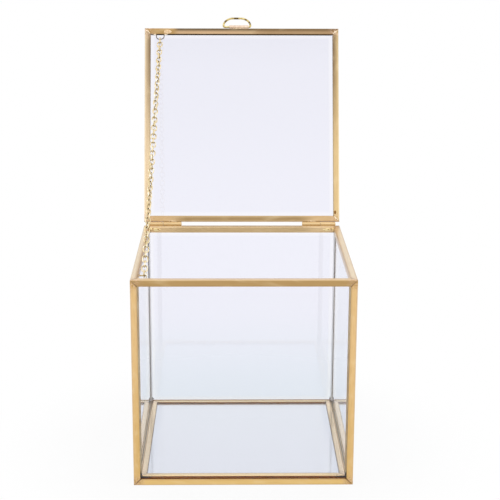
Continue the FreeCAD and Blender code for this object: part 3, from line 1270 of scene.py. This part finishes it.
@dataclass
class Base:
    """The base pane, the frame around it and the tabs that tie it to the bottom rails."""

    model: Model
    solder: Material
    glass: Material = field(init=False)

    def dress(self) -> None:
        """Give the frame, the pane and the tabs their finishes."""
        narrow = {"face": 5.0 * MM, "lip_reach": 0.2, "roughness": 0.10}
        # The frame's web and pocket colours are painted shade on its upright outer sides and inside its
        # folds.
        finishes = {
            ("base_frame_front", "base_frame_back"): BrassStrip(
                "base end brass", shade(255, 225, 172), shade(246, 209, 152), shade(176, 134, 86),
                web_shade=shade(178, 102, 26), pocket_shading=shade(176, 106, 36), **narrow,
            ),
            ("base_frame_left", "base_frame_right"): BrassStrip(
                "base side brass", shade(255, 227, 187), shade(255, 221, 178), shade(170, 140, 108),
                web_shade=shade(116, 96, 86), pocket_shading=shade(116, 96, 86), **narrow,
            ),
        }
        self.model.dress_strips(finishes, self.model.box("base_frame_"))
        stops = {0.0: shade(241, 239, 247), 1.0: shade(242, 241, 248)}
        # A darker margin: painted shadow under the frame's strips.
        glass = PaneGlass("base glass", Axis.Y, stops, margin_shading=shade(222, 223, 236),
                          margin_shading_reach=Fade(5.0 * MM, 13.0 * MM, 0.5))
        self.glass = glass.material(self.model.box("glass_base"))
        self.model.dress(self.glass, "glass_base")
        self.model.dress(self.solder, "base_solder_")

    def build(self) -> None:
        """Cut the base pane."""
        Pane().cut("glass_base", self.model.box("glass_base"), Body.BOX, self.glass)


@dataclass
class Lid:
    """The lid's pane, the rails around it and a dark line of painted shade along its free rail."""

    model: Model
    solder: Material
    lip_shade: Material
    # Sizes of the dark line of painted shade under the free rail.
    lip_shade_width: float = 1.1 * MM
    lip_shade_height: float = 0.6 * MM
    lip_shade_round: float = 0.36 * MM
    lip_shade_segments: int = 3
    lip_shade_ends: float = 7.0 * MM
    mitre_drop: Drop = Drop(5.0 * MM, 1.8 * MM, 0.18 * MM)
    mitre_inset: float = 3.4 * MM
    scorch: Drop = Drop(4.0 * MM, 2.4 * MM, 0.12 * MM, tail=1.1, narrow=0.8)
    scorch_inset: tuple[float, float] = (4.4 * MM, 9.5 * MM)
    glass: Material = field(init=False)

    def dress(self) -> None:
        """Give the rails and the pane their finishes."""
        dark_end = {"end": shade(140, 117, 88), "end_reach": Fade(16.0 * MM, 150.0 * MM), "end_edge": 0.25}
        # The lid's rails are one brass in painted light and shade, with colours that differ from rail to
        # rail.
        finishes = {
            ("lid_rail_left",): BrassStrip(
                "lid left rail brass", shade(240, 214, 176), shade(244, 230, 206), shade(220, 198, 160),
                **dark_end,
            ),
            ("lid_rail_right",): BrassStrip(
                "lid right rail brass", shade(231, 200, 146), shade(238, 220, 178), shade(212, 186, 138),
                **dark_end,
            ),
            ("lid_rail_front",): BrassStrip(
                "lid free rail brass", shade(208, 174, 134), shade(108, 90, 66), shade(192, 160, 122),
                edge_hold=0.15, edge_reach=0.72, lip_reach=0.2, end=shade(184, 148, 94), end_axis=Axis.X,
                end_reach=Fade(28.0 * MM, 36.0 * MM), far=shade(140, 110, 72),
            ),
            ("lid_rail_back",): BrassStrip(
                "lid hinge rail brass", shade(172, 142, 98), shade(212, 184, 140), shade(210, 182, 138),
                edge_reach=0.36, lip_reach=0.46, corner=shade(218, 184, 136),
            ),
        }
        self.model.dress_strips(finishes, self.model.shut_box("lid_rail_"))
        # The lid pane's tint, with painted shade: darker towards the free edge.
        stops = {0.0: shade(234, 234, 244), 0.25: shade(237, 237, 247), 1.0: shade(240, 240, 250)}
        self.glass = PaneGlass("lid glass", Axis.Y, stops).material(self.model.shut_box("glass_lid"))
        self.model.dress(self.glass, "glass_lid")

    def build(self) -> None:
        """Cut the pane, and add the dark line of painted shade and the marks on the rails."""
        Pane().cut("glass_lid", self.model.shut_box("glass_lid"), Body.LID, self.glass)
        self.run_lip_shade()
        self.mark_rails()

    def run_lip_shade(self) -> None:
        """A dark brown line under the free rail's lip: painted shade of the channel behind it."""
        length = self.model.shut_box("lid_rail_").size.x - 2 * self.lip_shade_ends
        lip_y = self.model.shut_box("lid_rail_front").high.y
        pane_z = self.model.shut_box("glass_lid").low.z
        line = Workpiece.start("lid_lip_shade", bpy.ops.mesh.primitive_plane_add, size=1.0)
        line.stretch((length, self.lip_shade_width, 1.0))
        line.extrude(self.lip_shade_height)
        line.shape(lambda spot: spot.z > self.lip_shade_height / 2, bpy.ops.mesh.bevel, offset=self.lip_shade_round,
                   segments=self.lip_shade_segments)
        line.put(self.model.lid_seat((0.0, lip_y + self.lip_shade_width / 2, pane_z), RIGHT, -UP))
        line.finish(Body.LID, Slot.SEALANT, self.lip_shade)

    def mark_rails(self) -> None:
        """Solder on the mitres, and a scorch mark."""
        rails = self.model.shut_box("lid_rail_")
        mounds = {}
        for side_x, side_y in product((-1, 1), repeat=2):
            spot = (side_x * (rails.high.x - self.mitre_inset), side_y * (rails.high.y - self.mitre_inset),
                    rails.low.z)
            place = self.model.lid_seat(spot, (-side_x, -side_y, 0.0), -UP)
            mounds["lid_solder_" + corner_name(side_x, side_y)] = place
        self.mitre_drop.lay(mounds, Body.LID, Slot.SOLDER, self.solder)
        across, along = self.scorch_inset
        place = self.model.lid_seat((rails.high.x - across, rails.high.y - along, rails.low.z), BACK, -UP)
        char = LumpyFinish("charred flux", shade(166, 116, 54), shade(92, 60, 26), metal=0.8, roughness=0.3)
        self.scorch.lay({"lid_scorch": place}, Body.LID, Slot.SOLDER, char.material())


@dataclass
class Hinges:
    """The two barrel hinges, with the flat heads of their pins and the solder on their leaves."""

    model: Model
    solder: Material
    head: float = 3.2 * MM
    head_height: float = 0.7 * MM
    head_sink: float = 0.35 * MM    # into the pin's end
    head_segments: int = 24
    leaf_drop: Drop = Drop(9.0 * MM, 1.6 * MM, 0.7 * MM, tail=1.2)
    leaf_slope: float = 0.6         # rise of the way that a leaf's solder faces, per length to the back
    ridge_drop: Drop = Drop(8.0 * MM, 1.6 * MM, 0.5 * MM)
    ridge_sink: float = 0.35 * MM
    brass: Material = field(init=False)

    def dress(self) -> None:
        """Give the knuckles and pins their finish."""
        brass = BrassWire("hinge brass", shade(222, 192, 144), pale=shade(232, 206, 160), stain_share=0.0,
                          patch=14.0 * MM, crease_shade_open=Fade(0.10, 0.55))
        self.brass = brass.material()
        self.model.dress(self.brass, "hinge_")

    def build(self) -> None:
        """Add the pins' heads and the solder."""
        self.head_pins()
        self.solder_leaves()

    def head_pins(self) -> None:
        """A flat head on each end of each pin."""
        pattern = Workpiece.start("head_pattern", bpy.ops.mesh.primitive_circle_add,
                                  vertices=self.head_segments, radius=self.head / 2, fill_type="NGON")
        pattern.extrude(self.head_height)
        axis = self.model.hinge_axis
        for side in (Side.LEFT, Side.RIGHT):
            pin = self.model.box(f"hinge_{side.value}_pin")
            for end, x, way in ((Side.LEFT, pin.low.x, -1.0), (Side.RIGHT, pin.high.x, 1.0)):
                head = pattern.copy(f"hinge_{side.value}_pin_head_{end.value}")
                head.put(seat((x - way * self.head_sink, axis.y, axis.z), BACK, way * RIGHT))
                head.finish(Body.BOX, Slot.STRIP, self.brass)
        pattern.discard()

    def solder_leaves(self) -> None:
        """Solder under the box leaves, over the lid leaves and along the lid's ridge beside them."""
        rail = self.model.shut_box("lid_rail_back")
        on_box = {}
        on_lid = {}
        ridges = {}
        for side in (Side.LEFT, Side.RIGHT):
            hinge = f"hinge_{side.value}_"
            leaf = self.model.box(hinge + "box_knuckle")
            spot = (leaf.middle.x, leaf.low.y, leaf.low.z)
            on_box[hinge + "box_solder"] = seat(spot, RIGHT, BACK - self.leaf_slope * UP)
            leaf = self.model.shut_box(hinge + "lid_knuckle")
            spot = (leaf.middle.x, leaf.low.y, leaf.high.z)
            on_lid[hinge + "lid_solder"] = self.model.lid_seat(spot, -RIGHT, BACK + self.leaf_slope * UP)
            spot = (leaf.middle.x, rail.high.y - self.ridge_sink, rail.low.z + self.ridge_sink)
            ridges[hinge + "ridge_solder"] = self.model.lid_seat(spot, RIGHT, BACK - UP)
        self.leaf_drop.lay(on_box, Body.BOX, Slot.SOLDER, self.solder)
        self.leaf_drop.lay(on_lid, Body.LID, Slot.SOLDER, self.solder)
        self.ridge_drop.lay(ridges, Body.LID, Slot.SOLDER, self.solder)


@dataclass
class Pull:
    """The finger pull on the lid's free edge: its tube, its ring and the solder under the tube."""

    model: Model
    solder: Material
    pad_drop: Drop = Drop(18.0 * MM, 1.5 * MM, 0.7 * MM, tail=1.1, narrow=0.8)
    pad_half: float = 1.3 * MM

    def dress(self) -> None:
        """Give the tube and the ring their finishes."""
        ring = BrassWire("pull ring brass", shade(204, 182, 118), pale=shade(238, 222, 160),
                         stain=shade(78, 56, 22), stain_share=0.85, patch=5.0 * MM, crease_shade_open=TIGHT_CREASE_SHADE)
        self.model.dress(ring.material(), "pull_ring")
        tube = BrassWire("pull tube brass", shade(230, 204, 180), pale=shade(242, 222, 200), stain_share=0.10,
                         scratch=0.6 * MM, crease_shade_open=TIGHT_CREASE_SHADE)
        self.model.dress(tube.material(), "pull_tube")

    def build(self) -> None:
        """Solder along both sides of the pad that carries the tube."""
        tube = self.model.shut_box("pull_tube")
        mounds = {}
        for name, way in (("inner", -1.0), ("outer", 1.0)):
            spot = (tube.middle.x, tube.high.y, tube.middle.z + way * self.pad_half)
            mounds["pull_solder_" + name] = self.model.lid_seat(spot, RIGHT, way * UP - BACK)
        self.pad_drop.lay(mounds, Body.LID, Slot.SOLDER, self.solder)


@dataclass
class Chain:
    """The lid chain, the stud and the eye that hold it, and their solder."""

    model: Model
    solder: Material
    stud_drop: Drop = Drop(3.8 * MM, 3.0 * MM, 0.9 * MM, tail=1.2)
    foot_drop: Drop = Drop(3.6 * MM, 1.5 * MM, 0.7 * MM, tail=1.7)
    foot_run: float = 1.0 * MM
    lip_sink: float = 0.5 * MM
    smear: Drop = Drop(8.0 * MM, 4.6 * MM, 0.2 * MM, tail=1.1, narrow=0.8)
    smear_run: float = 3.2 * MM

    def dress(self) -> None:
        """Give the links, the stud and the eye their finishes."""
        links = BrassWire("chain brass", shade(236, 216, 170), pale=shade(255, 250, 232), stain_share=0.25,
                          crease_shade=shade(86, 62, 28), crease_shade_open=Fade(0.38, 0.92), crease_shade_reach=2.2 * MM)
        self.model.dress(links.material(), "chain_lower", "chain_upper", "chain_stud")
        eye = BrassWire("eye wire", shade(98, 84, 68), pale=shade(150, 134, 110), stain=shade(60, 48, 36),
                        crease_shade_open=TIGHT_CREASE_SHADE)
        self.model.dress(eye.material(), "chain_eye")

    def build(self) -> None:
        """Solder at the stud's root and at the eye's two feet, and flux beside the eye."""
        stud = self.model.box("chain_stud")
        root = seat((stud.low.x, stud.middle.y, stud.middle.z), BACK, RIGHT)
        self.stud_drop.lay({"chain_stud_solder": root}, Body.BOX, Slot.SOLDER, self.solder)

        eye = self.model.shut_box("chain_eye")
        lip = self.model.shut_box("lid_rail_front")
        pane = self.model.shut_box("glass_lid")
        feet = {}
        for side, x, way in ((Side.LEFT, eye.low.x, -1.0), (Side.RIGHT, eye.high.x, 1.0)):
            spot = (x + way * self.foot_run, lip.high.y + self.lip_sink, pane.low.z - self.lip_sink)
            feet["chain_eye_solder_" + side.value] = self.model.lid_seat(spot, way * RIGHT, BACK - UP)
        self.foot_drop.lay(feet, Body.LID, Slot.SOLDER, self.solder)

        spot = (eye.high.x + self.smear_run, lip.high.y - self.smear.width / 2, lip.low.z)
        place = self.model.lid_seat(spot, RIGHT, -UP)
        flux = LumpyFinish("flux", shade(240, 212, 176), shade(220, 186, 142), metal=0.9, roughness=0.3)
        self.smear.lay({"chain_eye_smear": place}, Body.LID, Slot.SOLDER, flux.material())


@dataclass(frozen=True)
class Softbox:
    """A square lamp that faces the box."""

    name: str
    place: tuple[float, float, float]
    size: float
    power: float                    # watts
    aim: tuple[float, float, float] = (0.0, 0.0, 0.15)

    def hang(self) -> None:
        """Add the lamp."""
        lamp = bpy.data.lights.new(self.name, "AREA")
        lamp.size = self.size
        lamp.energy = self.power
        holder = bpy.data.objects.new(self.name, lamp)
        bpy.context.scene.collection.objects.link(holder)
        holder.location = self.place
        ahead = Vector(self.aim) - Vector(self.place)
        holder.rotation_euler = ahead.to_track_quat("-Z", "Y").to_euler()


@dataclass
class Studio:
    """Floor, light and camera."""

    floor_size: float = 16.0
    floor_drop: float = 0.5 * MM
    floor_colour: Colour = shade(240, 241, 243)
    shadow_share: float = 0.09
    shadow_reach: Fade = Fade(0.13, 0.26)
    ambient: float = 0.75
    softboxes: tuple[Softbox, ...] = (
        Softbox("overhead_softbox", (0.0, -0.25, 1.75), 2.2, 5.0),
        Softbox("left_softbox", (-1.5, -1.2, 0.9), 1.4, 4.0),
        Softbox("right_softbox", (1.6, -0.8, 0.8), 1.4, 3.5),
    )
    eye: tuple[float, float, float] = (-0.0131, -1.1960, 0.5145)
    pitch: float = 14.93            # degrees, as are yaw and roll
    yaw: float = 0.95
    roll: float = 0.23
    lens: float = 93.97             # millimetres, as Blender takes it
    nearest: float = 0.05

    def build(self) -> None:
        """Make the floor, the world, the lamps and the camera."""
        view = bpy.context.scene.view_settings
        view.view_transform = "Standard"
        self.lay_floor()
        self.light_world()
        for softbox in self.softboxes:
            softbox.hang()
        self.set_camera()

    @staticmethod
    def showing(sheet: NodeSheet) -> Channel:
        """Tell what is looked at from what only gives light.

        Args:
            sheet: the node sheet of the floor or the world.

        Returns:
            1 where a ray from the camera, a mirror or glass looks, 0 for other light.
        """
        path = sheet.node("ShaderNodeLightPath")
        straight = Channel(sheet, path.outputs["Is Camera Ray"])
        mirrored = Channel(sheet, path.outputs["Is Glossy Ray"])
        through = Channel(sheet, path.outputs["Is Transmission Ray"])
        return straight.most(mirrored).most(through)

    def lay_floor(self) -> None:
        """A pale floor that keeps a soft shadow near the box and goes to white further out."""
        bpy.ops.object.select_all(action="DESELECT")
        bpy.ops.mesh.primitive_plane_add(size=self.floor_size, location=(0.0, 0.0, -self.floor_drop))
        floor = bpy.context.active_object
        floor.name = "floor"
        sheet = NodeSheet.for_material("studio floor")
        x, y, _ = sheet.parts(sheet.place())
        reach = sheet.node("ShaderNodeVectorMath", {0: sheet.vector(x, y, 0.0)}, operation="LENGTH")
        far = Channel(sheet, reach.outputs["Value"]).rise(self.shadow_reach)
        matt = sheet.node("ShaderNodeBsdfDiffuse", {"Color": self.floor_colour})
        white = sheet.node("ShaderNodeEmission", {"Color": WHITE, "Strength": 1.0})
        share = self.showing(sheet) * (1 - self.shadow_share * (1 - far))
        floor.data.materials.append(sheet.surface(sheet.mix(share, matt, white)))

    def light_world(self) -> None:
        """White to look at, and a plain grey as light."""
        world = bpy.data.worlds.new("studio")
        bpy.context.scene.world = world
        sheet = NodeSheet(world)
        grey = sheet.node("ShaderNodeBackground", {"Color": WHITE, "Strength": self.ambient})
        white = sheet.node("ShaderNodeBackground", {"Color": WHITE, "Strength": 1.0})
        both = sheet.mix(self.showing(sheet), grey, white)
        sheet.node("ShaderNodeOutputWorld", {"Surface": both.outputs[0]})

    def set_camera(self) -> None:
        """The camera at the viewing angle of the original picture."""
        pitch, yaw, roll = (math.radians(angle) for angle in (self.pitch, self.yaw, self.roll))
        ahead = Vector((math.sin(yaw) * math.cos(pitch), math.cos(yaw) * math.cos(pitch), -math.sin(pitch)))
        level = Vector((math.cos(yaw), -math.sin(yaw), 0.0))
        upright = level.cross(ahead)
        right = level * math.cos(roll) + upright * math.sin(roll)
        up = upright * math.cos(roll) - level * math.sin(roll)
        camera = bpy.data.objects.new("camera", bpy.data.cameras.new("camera"))
        bpy.context.scene.collection.objects.link(camera)
        camera.data.lens = self.lens
        camera.data.clip_start = self.nearest
        turn = Matrix((right, up, -ahead)).transposed()
        camera.matrix_world = Matrix.Translation(self.eye) @ turn.to_4x4()
        bpy.context.scene.camera = camera


def main() -> None:
    """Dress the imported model, add its solder and glue, and set the studio around it."""
    logging.basicConfig(level=logging.INFO, format="%(name)s: %(message)s")
    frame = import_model()
    model = Model(frame)
    solder = LumpyFinish("solder", shade(253, 234, 204), shade(150, 106, 56), metal=0.9, roughness=0.22,
                         second_from=Fade(0.54, 0.66)).material()
    # Dark sealant, which the wedges of painted shade in the base slit also take.
    sealant = LumpyFinish("dark sealant", shade(84, 64, 52), shade(52, 38, 30), metal=0.0,
                          roughness=0.45).material()
    # A dark brown line under the lid's free rail: painted shade.
    lip_shade = LumpyFinish("brown lip shade", shade(58, 38, 16), shade(40, 25, 10), metal=0.0, roughness=0.50,
                       gloss=0.1).material()
    assemblies = (
        Walls(model, sealant),
        Base(model, solder),
        Lid(model, solder, lip_shade),
        Hinges(model, solder),
        Pull(model, solder),
        Chain(model, solder),
    )
    for assembly in assemblies:
        assembly.dress()
        assembly.build()
    Studio().build()


if __name__ == "__main__":
    main()
